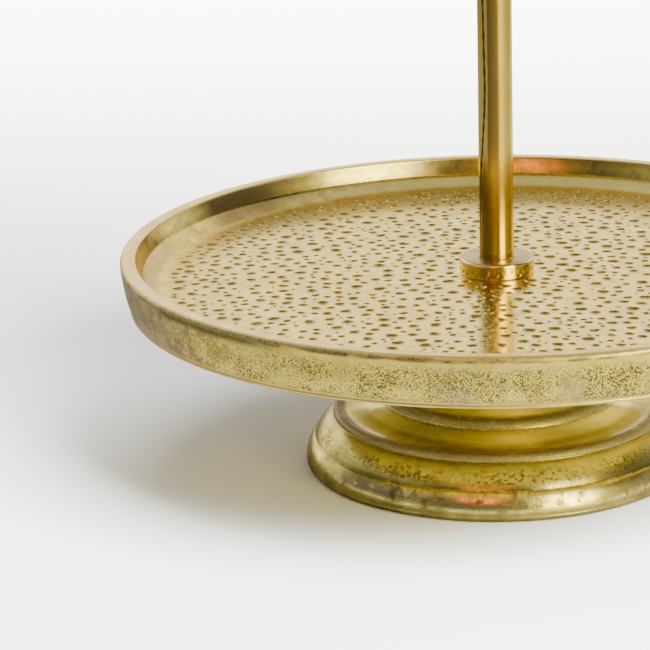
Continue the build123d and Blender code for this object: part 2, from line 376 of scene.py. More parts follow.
def plate_points(radius, floor_z, boss_radius, floor_inner):
    """The plate's outline from the floor's outer edge round to the floor under the collar."""
    rim_inner = radius - RIM_WIDTH
    skirt_outer = radius - SKIRT_DRAFT
    skirt_inner = skirt_outer - SKIRT_THICKNESS
    relative = outline(
        (radius - COVE_WIDTH, 0.0),
        ((rim_inner - 8.3, 1.3), (rim_inner - 3.2, 5.2)),
        (rim_inner - 0.4, RIM_RISE - 0.9),
        ((rim_inner - 0.1, RIM_RISE - 0.2), (rim_inner + 0.6, RIM_RISE)),
        (radius - RIM_ROUND, RIM_RISE),
        ((radius - 0.29 * RIM_ROUND, RIM_RISE - 0.29 * RIM_ROUND), (radius, RIM_RISE - RIM_ROUND)),
        ((radius - 1.45, 0.5), (skirt_outer + 0.45, 2.0 - SKIRT_DROP)),
        (skirt_outer + 0.1, 1.7 - SKIRT_DROP),
        ((skirt_outer + 0.35, 0.9 - SKIRT_DROP), (skirt_outer - 0.9, -SKIRT_DROP)),
        (skirt_inner + 0.6, -SKIRT_DROP),
        (skirt_inner, 0.6 - SKIRT_DROP),
        (skirt_inner - 0.8, -FLOOR_THICKNESS - 2.0),
        ((skirt_inner - 1.5, -FLOOR_THICKNESS - 0.6), (skirt_inner - 2.8, -FLOOR_THICKNESS)),
        (boss_radius + BOSS_DEPTH, -FLOOR_THICKNESS),
        (boss_radius, -FLOOR_THICKNESS - BOSS_DEPTH),
        (HOLE_RADIUS, -FLOOR_THICKNESS - BOSS_DEPTH),
        (HOLE_RADIUS, 0.0),
        (floor_inner, 0.0),
        step=0.7,
    )
    relative = divide(soften(relative, 0.25, closed=False), closed=False)
    return [(r, z + floor_z) for r, z in relative]


def loop(first, count):
    """The pairs of neighbours round a loop of count points."""
    return [(first + i, first + (i + 1) % count) for i in range(count)]


def add_pits(verts, faces, pits, floor_z):
    """Adds the pits' bowls: returns each pit's lip, and how dark each new point is."""
    lips, dark = [], []
    for pit in pits:
        rings, centre = pit_rings(pit, floor_z)
        rows = []
        for level, ring in enumerate(rings):
            rows.append(list(range(len(verts), len(verts) + len(ring))))
            verts.extend(ring)
            dark.extend([0.55 if level == 0 else 1.0] * len(ring))
        around = loop(0, len(rows[0]))
        for upper, lower in zip(rows, rows[1:]):
            faces.extend([upper[i], upper[n], lower[n], lower[i]] for i, n in around)
        faces.extend([rows[-1][i], rows[-1][n], len(verts)] for i, n in around)
        verts.append(centre)
        dark.append(0.7)
        lips.append(rows[0])
    return lips, dark


def fill_floor(verts, faces, outer, inner, lips):
    """Fills the flat floor between its outer and inner border and round the pits' lips."""
    flat, owner, edges = [], [], []
    for number, row in enumerate((outer, inner, *lips)):
        edges += loop(len(flat), len(row))
        flat += row
        owner += [number] * len(row)
    plane = [Vector(verts[i][:2]) for i in flat]
    _, _, triangles, sources, _, _ = delaunay_2d_cdt(plane, edges, [], 0, 1e-6)
    for triangle in triangles:
        corners = [sources[i][0] for i in triangle]
        # All three corners on one loop: in a pit or the hole, unless it is the outer border
        if len({owner[i] for i in corners}) > 1 or owner[corners[0]] == 0:
            faces.append([flat[i] for i in corners])


def plate(node, collar_node, boss_radius, segments, seed):
    """A cast plate whose floor is pitted all over with small round craters."""
    _, top, radius = measure(node)
    floor_z = top - RIM_RISE
    collar = measure(collar_node)[2]
    points = plate_points(radius, floor_z, boss_radius, collar - 3.0)
    wobble = hand_made(seed, 0.25)

    def shape(r, z, angle):
        moved, z = wobble(r, z, angle)
        return np.where(r > radius - COVE_WIDTH + 1, moved, r), z

    verts, index = ring_grid(points, segments, shape)
    faces = ring_faces(index, closed=False)
    dark = [0.0] * len(verts)
    pits = scatter_pits(collar + 4.0, radius - COVE_WIDTH - 0.2, seed)
    lips, pits_dark = add_pits(verts, faces, pits, floor_z)
    fill_floor(verts, faces, index[0].tolist(), index[-1].tolist(), lips)
    obj = make_object(node + FINISHED, verts, faces)
    sharp = {frozenset((row[i], row[n])) for row in lips for i, n in loop(0, len(row))}
    for edge in obj.data.edges:
        edge.use_edge_sharp = frozenset(edge.vertices) in sharp
    paint(obj, "pit", dark + pits_dark)
    paint_plate(obj, points, index, radius, floor_z)
    return obj


def paint_plate(obj, points, index, radius, floor_z):
    """Paints which part of the plate each vertex belongs to."""
    r = np.array([p[0] for p in points])
    z = np.array([p[1] for p in points]) - floor_z
    zones = {
        "rim": np.clip((z - RIM_RISE + 0.8) / 0.5, 0, 1),
        "outside": np.clip((r - radius + SKIRT_DRAFT + 1.4) / 0.8, 0, 1) * (z < RIM_RISE - 0.3),
        "inside": np.clip(z / 3.0, 0, 1) * (r < radius - RIM_WIDTH + 0.3),
        "under": np.clip((-z - 1.5) / 2.0, 0, 1) * (r < radius - SKIRT_DRAFT - 1.0),
        "rise": (z + SKIRT_DROP) / (RIM_RISE + SKIRT_DROP),
    }
    for name, rows in zones.items():
        # The pits' own points lie in the floor
        values = np.full(len(obj.data.vertices), FLOOR_LEVEL if name == "rise" else 0.0)
        values[index] = rows[:, None]
        paint(obj, name, values)
    x, y, heights = np.array([v.co for v in obj.data.vertices]).T / MM
    away = np.hypot(x, y)
    heights -= floor_z
    dull_and_shade = np.clip((away - radius + DULL_START) / DULL_FADE, 0, 1)
    paint(obj, "ring", dull_and_shade * (heights > -2.0) * (heights < 4.0))
    paint_edges(obj, points, index, closed=False)


# --- Turned pieces ---


def foot():
    """The stepped pedestal, hollow underneath."""
    bottom, top, radius = measure("foot_casting")
    bead_z = top - 5.0
    points = outline(
        (radius - 1.0, bottom),
        ((radius - 0.25, bottom + 0.4), (radius, 2.8)),
        ((radius - 0.9, 8.2), (radius - 3.4, 12.8)),
        (radius - 4.2, 13.4),
        ((radius - 8.05, 19.4), (radius - 13.1, 24.2)),
        ((radius - 13.7, 26.4), (radius - 16.0, 27.1)),
        ((radius - 28.7, 27.6), (radius - 36.2, 31.9)),
        ((radius - 36.8, 33.9), (radius - 39.7, 34.8)),
        ((radius - 60.0, 47.0), (radius - 66.5, 64.0)),
        ((radius - 65.6, 71.0), (radius - 62.8, bead_z)),
        ((radius - 61.0, bead_z + 2.4), (radius - 62.2, top)),
        (HOLE_RADIUS, top),
        (HOLE_RADIUS, top - 12.0),
        (17.0, top - 12.0),
        (17.5, 60.0),
        ((radius - 66.5, 44.5), (radius - 45.2, 30.9)),
        (radius - 39.2, 23.2),
        (radius - 20.1, 19.7),
        ((radius - 12.6, 12.5), (radius - 12.0, bottom)),
    )
    shape = hand_made(SEED + 3, 0.3)
    return turned("foot_casting", points, 192, shape, soft=0.5, gap=3.0)


def stem_collar(node):
    """A round-edged collar on a plate's floor."""
    bottom, top, radius = measure(node)
    points = outline(
        (BORE, bottom), (radius - 0.5, bottom), (radius, bottom + 0.5), (radius, top - 1.8),
        ((radius - 0.52, top - 0.52), (radius - 1.8, top)),
        (BORE + 0.7, top),
        (BORE, top - 0.6),
        step=0.35,
    )
    shape = hand_made(SEED + 5, 0.12)
    obj = turned(node, points, 128, shape, soft=0.25, gap=1.5)
    # Marks the top face, which the collar material darkens with painted shade.
    paint(obj, "top", [float(v.co.z / MM > top - 0.35) for v in obj.data.vertices])
    return obj


def support_collar():
    """The flared collar that carries the upper plate."""
    bottom, top, radius = measure("support_collar")
    points = outline(
        (BORE, bottom),
        (BORE + 2.4, bottom),
        ((BORE + 3.6, bottom + 1.3), (BORE + 2.6, bottom + 2.6)),
        ((BORE + 4.6, bottom + 7.0), (radius - 1.0, top - 3.0)),
        ((radius, top - 1.5), (radius - 0.6, top)),
        (BORE, top),
        step=0.4,
    )
    return turned("support_collar", points, 128, hand_made(SEED + 6, 0.1), gap=2.0)


def handle_ferrule():
    """The turned bead under the ring."""
    bottom, top, radius = measure("handle_ferrule")
    points = outline(
        (3.0, bottom), (radius - 2.8, bottom), (radius - 2.8, bottom + 1.2),
        ((radius, bottom + 3.6), (radius - 3.4, top - 1.0)),
        (radius - 3.4, top),
        (3.0, top),
        step=0.35,
    )
    return turned("handle_ferrule", points, 96, hand_made(SEED + 7, 0.08), gap=1.5)


def tube(node, seed):
    """A rolled stem tube with a narrow uneven seam down one side."""
    bottom, top, radius = measure(node)
    rng = random.Random(seed)
    drift = [(rng.uniform(0.03, 0.16), rng.uniform(0, TAU)) for _ in range(4)]
    marks = {}

    def shape(r, z, angle):
        wander = sum(np.sin(k * z + p) for k, p in drift)
        twist = SEAM_TWIST * np.clip(1 - (z - bottom) / TWIST_HEIGHT, 0, 1) ** 1.3
        across = (angle - SEAM_ANGLE + twist + math.pi) % TAU - math.pi
        distance = across * radius - 0.16 * wander
        width = SEAM_WIDTH * (1 + 0.3 * np.sin(0.9 * z + wander))
        groove = np.exp(-((distance / width) ** 2))
        outer = r > radius - 1.0
        marks["seam"] = groove * outer
        out_of_round = 0.05 * (1 + np.sin(2 * angle + 0.03 * z + wander * 0.3))
        return r - outer * (SEAM_DEPTH * groove + out_of_round), z

    points = [(radius - 1.5, bottom), (radius, bottom), (radius, top), (radius - 1.5, top)]
    points = divide(soften(points, 0.2), gap=2.0)
    verts, index = ring_grid(points, 160, shape)
    obj = make_object(node + FINISHED, verts, ring_faces(index))
    paint_edges(obj, points, index)
    seam = np.zeros(len(verts))
    seam[index] = marks["seam"]
    paint(obj, "seam", seam)
    return obj


def thread(radius, pitch, start, stop):
    """A shape function that cuts a helical thread into a rod between two heights."""

    def shape(r, z, angle):
        phase = (z / pitch - angle / TAU) % 1.0
        crest = np.clip(2.4 * np.abs(phase - 0.5) - 0.1, 0, 1)
        ends = np.clip((z - start) / pitch, 0, 1) * np.clip((stop - z) / pitch, 0, 1)
        on_rod = np.abs(r - radius) < 0.02
        return r - on_rod * ends * (1 - crest) * 0.54 * pitch, z

    return shape


def stud(node, pitch):
    """A threaded stud with chamfered ends."""
    bottom, top, radius = measure(node)
    lower_end = [(0.0, bottom), (radius - 1.0, bottom), (radius, bottom + 1.0)]
    upper_end = [(radius, top - 1.0), (radius - 1.0, top), (0.0, top)]
    shape = thread(radius, pitch, bottom + 0.6, top - 0.6)
    return turned(node, lower_end + upper_end, 40, shape, soft=0.1, gap=pitch / 8)


def base_bolt():
    """The hex bolt under the foot, with a threaded shank."""
    bottom, top, corner = measure("base_bolt")
    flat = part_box("base_bolt")[1].y / MM
    rod = 3.95
    seat = bottom + BOLT_HEAD
    cut = thread(rod, COARSE_PITCH, seat + 6.0, top - 0.6)

    def shape(r, z, angle):
        r, z = cut(r, z, angle)
        hexagon = flat / np.cos(angle % math.radians(60) - math.radians(30))
        return np.where(r > rod + 0.5, np.minimum(r, hexagon), r), z

    face = [(0.0, bottom + 0.4), (corner - 3.2, bottom + 0.4), (corner - 2.6, bottom)]
    head = [(corner - 1.2, bottom), (corner, bottom + 0.8), (corner, seat)]
    shank = [(rod, seat), (rod, top - 1.0), (rod - 1.0, top), (0.0, top)]
    points = face + head + shank
    return turned("base_bolt", points, 72, shape, soft=0.1, gap=COARSE_PITCH / 8)


def foot_pads():
    """Round pads with a raised lip, under the foot's rim."""
    _, thick, reach = measure("foot_pads")
    radius = PAD_RADIUS
    centre = reach - radius
    points = outline(
        (0.0, 0.25), (radius - 1.6, 0.25), (radius - 1.2, 0.0), (radius - 0.5, 0.0),
        ((radius - 0.1, 0.15), (radius, 0.5)),
        (radius, thick),
        (0.0, thick),
        step=0.2,
    )
    points = divide(soften(points, 0.1), gap=1.0)
    verts, index = ring_grid(points, 48)
    faces = ring_faces(index)
    all_verts, all_faces = [], []
    for sx, sy in ((-1, -1), (-1, 1), (1, -1), (1, 1)):
        base = len(all_verts)
        all_verts.extend((x + sx * centre, y + sy * centre, z) for x, y, z in verts)
        all_faces.extend([c + base for c in face] for face in faces)
    return make_object("foot_pads" + FINISHED, all_verts, all_faces)


def ring_handle():
    """A cast carrying ring that flows into its boss."""
    bottom, top, reach = measure("ring_handle")
    mean = reach - RING_WIRE
    centre_z = top - reach
    wire = RING_WIRE - 0.15
    segments, around = 160, 40
    verts, faces = [], []
    for i in range(segments):
        t = TAU * i / segments
        for j in range(around):
            a = TAU * j / around
            r = mean + wire * math.cos(a)
            verts.append((r * math.cos(t), wire * math.sin(a), centre_z + r * math.sin(t)))
            n, m = (i + 1) % segments, (j + 1) % around
            faces.append([i * around + j, i * around + m, n * around + m, n * around + j])
    boss = outline(
        (0.0, bottom), (7.0, bottom), (7.0, bottom + 1.5),
        ((5.4, bottom + 3.2), (6.4, bottom + 7.0)),
        (0.0, bottom + 7.0),
        step=0.5,
    )
    boss_verts, index = ring_grid(divide(soften(boss, 0.4), gap=1.0), 64)
    base = len(verts)
    verts.extend(boss_verts)
    faces.extend([c + base for c in face] for face in ring_faces(index))
    obj = make_object("ring_handle" + FINISHED, verts, faces)
    remesh = obj.modifiers.new("join", "REMESH")
    remesh.mode = "VOXEL"
    remesh.voxel_size = 0.55 * MM
    smooth = obj.modifiers.new("smooth", "SMOOTH")
    smooth.factor = 0.5
    smooth.iterations = 8
    bpy.context.view_layer.update()
    solid = obj.evaluated_get(bpy.context.evaluated_depsgraph_get())
    mesh = bpy.data.meshes.new_from_object(solid)
    obj.modifiers.clear()
    obj.data = mesh
    mesh.shade_smooth()
    z = np.array([v.co.z for v in mesh.vertices]) / MM
    paint(obj, "grime", np.exp(-(((z - bottom - 5.5) / 1.8) ** 2)))
    paint(obj, "wear", np.clip((z - top + 6.0) / 6.0, 0, 1) * 0.5)
    return obj


# --- Materials ---


class Graph:
    """The nodes of one material or world, with a short call for each kind used here."""

    def __init__(self, tree):
        self.tree = tree
        self.tree.nodes.clear()

    def node(self, kind, inputs=None, **settings):
        node = self.tree.nodes.new(kind)
        for key, value in settings.items():
            setattr(node, key, value)
        for key, value in (inputs or {}).items():
            self.plug(node.inputs[key], value)
        return node

    def plug(self, socket, value):
        if isinstance(value, bpy.types.NodeSocket):
            self.tree.links.new(value, socket)
        elif socket.type == "RGBA":
            socket.default_value = (*value, 1.0)
        else:
            socket.default_value = value

    def maths(self, operation, a, b=0.0, clamp=False):
        node = self.node("ShaderNodeMath", {0: a, 1: b}, operation=operation, use_clamp=clamp)
        return node.outputs[0]

    def times(self, *values):
        return reduce(lambda a, b: self.maths("MULTIPLY", a, b), values)

    def plus(self, *values):
        return reduce(lambda a, b: self.maths("ADD", a, b), values)

    def span(self, value, low, high, to_low=0.0, to_high=1.0):
        """Smooth step of value from low to high, onto to_low to to_high."""
        inputs = dict(enumerate((value, low, high, to_low, to_high)))
        return self.node("ShaderNodeMapRange", inputs, interpolation_type="SMOOTHSTEP").outputs[0]

    def band(self, value, low, low_full, high_full, high):
        """1 where value is between the two full levels, and 0 outside low and high."""
        return self.times(self.span(value, low, low_full), self.span(value, high, high_full))

    def mix(self, factor, a, b):
        return self.node("ShaderNodeMix", {0: factor, 6: a, 7: b}, data_type="RGBA").outputs[2]

    def layers(self, colour, *layers):
        """The colour under layers of (where, tone), the last of them on top."""
        for where, tone in layers:
            colour = self.mix(where, colour, tone)
        return colour

    def place(self, stretch=(1.0, 1.0, 1.0)):
        """The point on the object, in mm, squeezed along each axis by stretch."""
        coords = self.node("ShaderNodeTexCoord").outputs["Object"]
        scale = [1 / (MM * s) for s in stretch]
        node = self.node("ShaderNodeVectorMath", {0: coords, 1: scale}, operation="MULTIPLY")
        return node.outputs[0]

    def noise(self, size, detail=3.0, roughness=0.55, stretch=(1.0, 1.0, 1.0)):
        """Noise with features about size mm across."""
        inputs = {
            "Vector": self.place(stretch),
            "Scale": 1 / size,
            "Detail": detail,
            "Roughness": roughness,
        }
        return self.node("ShaderNodeTexNoise", inputs).outputs["Fac"]

    def polar(self):
        """Radius, height and the cosine and sine of the angle about Z, in mm."""
        x, y, z = self.node("ShaderNodeSeparateXYZ", {0: self.place()}).outputs
        square = self.plus(self.times(x, x), self.times(y, y), 1e-6)
        radius = self.maths("SQRT", square)
        return radius, z, self.maths("DIVIDE", x, radius), self.maths("DIVIDE", y, radius)

    def rings(self, size, length):
        """Noise drawn out around Z: turning marks size mm apart, longer as length grows."""
        radius, z, cos, sin = self.polar()
        along = {0: self.times(radius, 1 / size), 1: self.times(z, 1 / size)}
        along[2] = self.times(cos, 8 / length)
        inputs = {
            "Vector": self.node("ShaderNodeCombineXYZ", along).outputs[0],
            "W": self.times(sin, 8 / length),
            "Scale": 1.0,
            "Detail": 3.0,
            "Roughness": 0.6,
        }
        return self.node("ShaderNodeTexNoise", inputs, noise_dimensions="4D").outputs["Fac"]

    def paint(self, name):
        return self.node("ShaderNodeAttribute", attribute_name=name).outputs["Fac"]

    def bump(self, height):
        """A normal from a height in mm."""
        inputs = {"Height": height, "Distance": MM, "Strength": 1.0}
        return self.node("ShaderNodeBump", inputs).outputs["Normal"]

    def centred(self, value, amount):
        """Value about 0.5 as a height of plus or minus amount, in mm."""
        return self.times(self.maths("SUBTRACT", value, 0.5), 2 * amount)

    def shade(self, inputs):
        """A Principled shader on the material's output."""
        shader = self.node("ShaderNodeBsdfPrincipled", inputs)
        self.node("ShaderNodeOutputMaterial", {"Surface": shader.outputs[0]})

    def surface(self, colour, roughness, normal, metallic=1.0, edge=WHITE):
        """The shader of a piece; edge tints it at grazing angles."""
        inputs = {
            "Base Color": colour,
            "Roughness": roughness,
            "Normal": normal,
            "Metallic": metallic,
            "Specular Tint": edge,
        }
        self.shade(inputs)


def new_material(name):
    material = bpy.data.materials.new(name)
    material.use_nodes = True
    return material, Graph(material.node_tree)


class Patterns:
    """The painted zones of a plate, and the noise that its whole material draws on."""

    def __init__(self, g):
        for name in ("rim", "outside", "inside", "under", "rise", "ring", "pit", "wear", "grime"):
            setattr(self, name, g.paint(name))
        self.broad = g.noise(38, detail=2.0)
        self.clouds = g.noise(6.5, detail=4.0, roughness=0.65)
        self.patch = g.noise(9, detail=4.0, roughness=0.6)
        self.fine = g.noise(1.1, detail=3.0, roughness=0.6)
        self.blend = g.span(self.patch, 0.35, 0.7)
        _, _, self.cos, self.sin = g.polar()


def plate_floor(g, p):
    """Pale gold with stained pits."""
    colour = g.mix(g.span(p.broad, 0.35, 0.65), (0.90, 0.71, 0.18), (0.82, 0.63, 0.12))
    colour = g.mix(g.span(p.patch, 0.48, 0.75, 0.0, 0.45), colour, (0.74, 0.55, 0.07))
    stain = g.times(p.pit, g.span(p.patch, 0.3, 0.7, 0.5, 0.9))
    return g.mix(stain, colour, (0.23, 0.195, 0.085))


def plate_wall(g, p, floor):
    """The cove and the inner wall, run into the floor: cloudy, with painted dark reflections in
    brown stretches at the back and on the far left, and a painted highlight low in the back cove.
    """
    wall = g.mix(p.blend, (0.82, 0.63, 0.12), (0.66, 0.50, 0.09))
    wall = g.mix(g.span(p.clouds, 0.48, 0.66, 0.0, 0.6), wall, (0.34, 0.28, 0.11))
    turn = g.plus(p.cos, g.centred(p.broad, 0.06))
    back = g.span(p.sin, 0.1, 0.4)
    steep = g.span(p.rise, 0.62, 0.70)
    # Painted dark reflections: brown stretches at the back, beside the stem and on the far left of
    # the wall stand in for dark things the wall reflects.
    back_left = g.times(g.band(turn, -0.86, -0.80, -0.66, -0.55), back)
    beside_stem = g.times(g.band(turn, -0.26, -0.18, 0.0, 0.05), back, steep, 0.8)
    far_left = g.times(g.span(turn, -0.88, -0.96), g.span(p.sin, -0.4, -0.1), 0.6)
    dark_reflection = g.maths("MAXIMUM", g.maths("MAXIMUM", back_left, beside_stem), far_left)
    wall = g.mix(g.times(dark_reflection, 0.85), wall, (0.20, 0.13, 0.05))
    near_wall = g.maths("ADD", p.inside, g.span(p.rise, FLOOR_LEVEL, 0.50), clamp=True)
    colour = g.mix(near_wall, floor, wall)
    # Painted highlight: a bright yellow band low on the back wall and cove stands in for the light
    # it reflects.
    cove_highlight = g.times(near_wall, g.span(p.rise, 0.68, 0.60), back, g.span(p.cos, -0.7, -0.4))
    colour = g.mix(g.times(cove_highlight, 0.8), colour, (0.97, 0.82, 0.27))
    stained = g.times(
        g.maths("ADD", near_wall, p.ring, clamp=True),
        g.span(p.rise, 0.72, 0.56),
        g.span(p.clouds, 0.42, 0.62, 0.0, 0.55),
        g.span(p.cos, -0.2, -0.6, 0.2, 1.0),
    )
    return g.mix(stained, colour, (0.42, 0.32, 0.13))


def plate_side(g, p):
    """The outer wall, with its peppered pores: the colour, and where the pores are."""
    pepper = g.noise(0.75, detail=2.0, roughness=0.55)
    crowd = g.span(g.noise(16, detail=3.0), 0.34, 0.58)
    low_zone = g.band(p.rise, 0.05, 0.14, 0.66, 0.88)
    side = g.mix(g.span(p.patch, 0.4, 0.7), (0.78, 0.62, 0.13), (0.64, 0.50, 0.10))
    mottle = g.times(g.span(pepper, 0.45, 0.53), low_zone, g.plus(0.35, g.times(crowd, 0.40)))
    pores = g.times(g.span(g.plus(pepper, g.times(crowd, 0.09)), 0.59, 0.63), low_zone)
    tarnish = g.span(g.noise(26, detail=4.0, roughness=0.65), 0.55, 0.68, 0.0, 0.45)
    # Painted shade: the left side of the outer wall is painted a duller grey-brown, standing in for
    # the shadowed floor it reflects.
    dull_and_shade = g.times(g.span(p.cos, -0.74, -0.97), g.span(p.broad, 0.3, 0.6, 0.45, 0.9))
    blots = g.times(
        g.span(p.clouds, 0.47, 0.60), g.span(p.cos, -0.60, -0.84), g.span(p.rise, 0.95, 0.75)
    )
    smudge_and_shadow = g.times(g.span(g.rings(3.0, length=0.5), 0.40, 0.58), g.span(p.rise, 0.86, 0.91))
    # Painted shadow: a dark streak under the land on the front left of the outer wall, added to the
    # dark smudge ring under the rim.
    front_left = g.times(g.band(p.cos, -0.93, -0.84, -0.68, -0.50), g.span(p.sin, 0.0, -0.2))
    shadow = g.times(front_left, g.span(p.rise, 0.72, 0.86), g.span(p.fine, 0.25, 0.5, 0.75, 1.0))
    smudge_and_shadow = g.maths("ADD", smudge_and_shadow, shadow, clamp=True)
    side = g.layers(
        side,
        (mottle, (0.30, 0.235, 0.06)),
        (g.times(pores, 0.85), (0.07, 0.055, 0.03)),
        (g.times(tarnish, g.span(p.rise, 0.9, 0.5)), (0.27, 0.235, 0.14)),
        (dull_and_shade, (0.34, 0.275, 0.17)),
        (g.times(blots, 0.7), (0.15, 0.12, 0.085)),
        (g.times(smudge_and_shadow, 0.9), (0.06, 0.046, 0.022)),
    )
    return side, pores


def plate_material():
    """Pale gold plating: glossy pitted floor, satin rubbed rim, peppered outer wall."""
    material, g = new_material("plate_gold")
    p = Patterns(g)
    side, pores = plate_side(g, p)
    land = g.mix(p.blend, (0.86, 0.66, 0.27), (0.78, 0.58, 0.19))
    below = g.mix(p.blend, (0.88, 0.75, 0.22), (0.76, 0.62, 0.16))
    above_bead = g.span(p.rise, 0.02, 0.12, 0.3, 1.0)
    colour = g.layers(
        plate_wall(g, p, plate_floor(g, p)),
        (p.outside, side),
        (p.rim, land),
        (p.under, below),
        (g.times(p.grime, above_bead, g.span(p.fine, 0.3, 0.6, 0.2, 0.7)), (0.24, 0.17, 0.04)),
        (g.times(p.wear, above_bead, g.span(p.fine, 0.35, 0.6, 0.2, 0.8)), (0.84, 0.66, 0.24)),
    )

    roughness = g.plus(
        g.span(p.patch, 0.3, 0.7, 0.15, 0.24),
        g.times(p.rim, 0.17),
        g.times(p.ring, 0.13),
        g.times(p.outside, g.span(p.fine, 0.3, 0.7, 0.17, 0.27)),
        g.times(p.under, 0.2),
        g.times(p.inside, 0.02),
    )
    turning = g.centred(g.rings(0.35, length=2.5), 0.010)
    casting = g.centred(g.noise(2.4, detail=3.0), 0.05)
    height = g.plus(
        g.centred(g.noise(13, detail=1.0), 0.035),
        g.centred(p.fine, 0.006),
        g.times(turning, g.plus(p.rim, g.times(p.outside, 0.6))),
        g.times(pores, p.outside, -0.06),
        g.times(casting, g.plus(p.under, g.times(p.outside, 0.35))),
    )
    g.surface(colour, roughness, g.bump(height), edge=GOLD_EDGE)
    return material


def foot_material():
    """Deep yellow gold with grey oxidised ledges, scuffs on the band, a neck painted lighter as a
    painted highlight, and a rubbed base ring painted lighter still as a painted reflection.
    """
    material, g = new_material("foot_gold")
    wear, grime = g.paint("wear"), g.paint("grime")
    radius, z, cos, sin = g.polar()
    patch = g.noise(11, detail=4.0, roughness=0.62)
    fine = g.noise(1.2, detail=4.0, roughness=0.6)
    turning = g.rings(0.4, length=2.0)
    streak = g.rings(2.2, length=0.6)

    blend = g.span(patch, 0.35, 0.68)
    colour = g.mix(blend, (0.56, 0.47, 0.11), (0.40, 0.325, 0.07))
    # Painted highlight: the neck and the cove above the upper ledge are painted a brighter gold
    # where they reflect light.
    lit_neck = g.mix(blend, (0.96, 0.86, 0.28), (0.88, 0.77, 0.22))
    colour = g.mix(g.span(z, 27.0, 28.2), colour, lit_neck)
    # The base ring: rubbed gold, also painted lighter as a painted reflection of the lit floor in
    # front.
    base_ring = g.span(z, 14.5, 12.8)
    rubbed_and_lit = g.mix(g.span(patch, 0.38, 0.62), (0.90, 0.76, 0.22), (0.54, 0.42, 0.11))
    colour = g.mix(base_ring, colour, rubbed_and_lit)
    smear = g.times(
        g.band(cos, -0.92, -0.80, -0.62, -0.48),
        g.span(sin, 0.0, -0.3),
        g.band(z, 5.0, 8.5, 13.5, 15.5),
        g.span(streak, 0.25, 0.5),
    )
    colour = g.mix(g.times(smear, 0.75), colour, (0.10, 0.075, 0.05))

    ledge_1 = g.times(g.band(z, 24.3, 25.2, 27.2, 28.2), g.span(radius, 71.0, 73.5))
    ledge_2 = g.band(z, 32.0, 32.8, 35.0, 36.2)
    ledges = g.maths("ADD", ledge_1, ledge_2, clamp=True)
    oxide = g.mix(g.span(fine, 0.35, 0.65), (0.20, 0.165, 0.09), (0.12, 0.095, 0.05))
    ledges = g.times(ledges, g.span(streak, 0.28, 0.45, 0.55, 0.95))
    colour = g.mix(ledges, colour, oxide)

    scuff_zone = g.band(z, 14.5, 16.5, 19.5, 22.5)
    scribble = g.noise(2.0, detail=5.0, roughness=0.7, stretch=(1.0, 1.0, 0.7))
    crowd = g.span(g.noise(22, detail=2.0), 0.35, 0.6, 0.35, 1.0)
    scuff = g.times(g.span(scribble, 0.50, 0.56), scuff_zone, crowd)
    blotch = g.noise(6.5, detail=5.0, roughness=0.68)
    ring_scuff = g.times(g.span(blotch, 0.52, 0.64), base_ring, g.span(z, 2.0, 7.0))
    marks = g.maths("ADD", g.times(scuff, 0.85), g.times(ring_scuff, 0.75), clamp=True)
    colour = g.layers(
        colour,
        (marks, (0.07, 0.055, 0.028)),
        (g.times(grime, g.span(fine, 0.3, 0.6, 0.25, 0.8)), (0.16, 0.11, 0.025)),
        (g.times(wear, g.span(fine, 0.4, 0.65, 0.0, 0.45)), (0.80, 0.64, 0.20)),
    )

    roughness = g.plus(
        g.span(patch, 0.3, 0.7, 0.16, 0.27),
        g.times(ledges, 0.28),
        g.times(marks, 0.2),
    )
    height = g.plus(
        g.centred(g.noise(15, detail=1.0), 0.05),
        g.centred(fine, 0.008),
        g.centred(turning, 0.009),
        g.times(marks, -0.015),
        g.times(ledges, g.centred(fine, 0.03)),
    )
    metallic = g.maths("SUBTRACT", 1.0, g.times(ledges, 0.35))
    g.surface(colour, roughness, g.bump(height), metallic, GOLD_EDGE)
    return material


def polished_gold(name, light, deep, satin, tarnish):
    """Turned and polished gold: the collars, the ferrule and the ring share it."""
    material, g = new_material(name)
    wear, grime = g.paint("wear"), g.paint("grime")
    patch = g.noise(6, detail=4.0, roughness=0.6)
    fine = g.noise(0.8, detail=3.0, roughness=0.6)
    turning = g.rings(0.25, length=2.0)
    blend = g.span(patch, 0.35, 0.7)
    colour = g.mix(blend, light, deep)
    spots = g.span(g.noise(1.6, detail=4.0, roughness=0.65), 0.62, 0.70, 0.0, tarnish)
    # Painted shade darkens the collars' top faces, which also have a rougher finish.
    top = g.paint("top")
    colour = g.layers(
        colour,
        (spots, (0.22, 0.16, 0.07)),
        (g.times(grime, g.span(fine, 0.3, 0.6, 0.3, 0.85)), (0.22, 0.16, 0.07)),
        (g.times(wear, g.span(fine, 0.35, 0.6, 0.2, 0.75)), (0.90, 0.68, 0.36)),
        (top, g.mix(blend, (0.40, 0.31, 0.16), (0.31, 0.23, 0.11))),
    )
    roughness = g.plus(
        g.span(patch, 0.3, 0.7, satin, satin + 0.09),
        g.times(spots, 0.2),
        g.times(top, 0.2),
    )
    height = g.plus(
        g.centred(g.noise(7, detail=1.0), 0.02),
        g.centred(fine, 0.004),
        g.centred(turning, 0.005),
        g.times(spots, -0.03),
    )
    g.surface(colour, roughness, g.bump(height), edge=GOLD_EDGE)
    return material


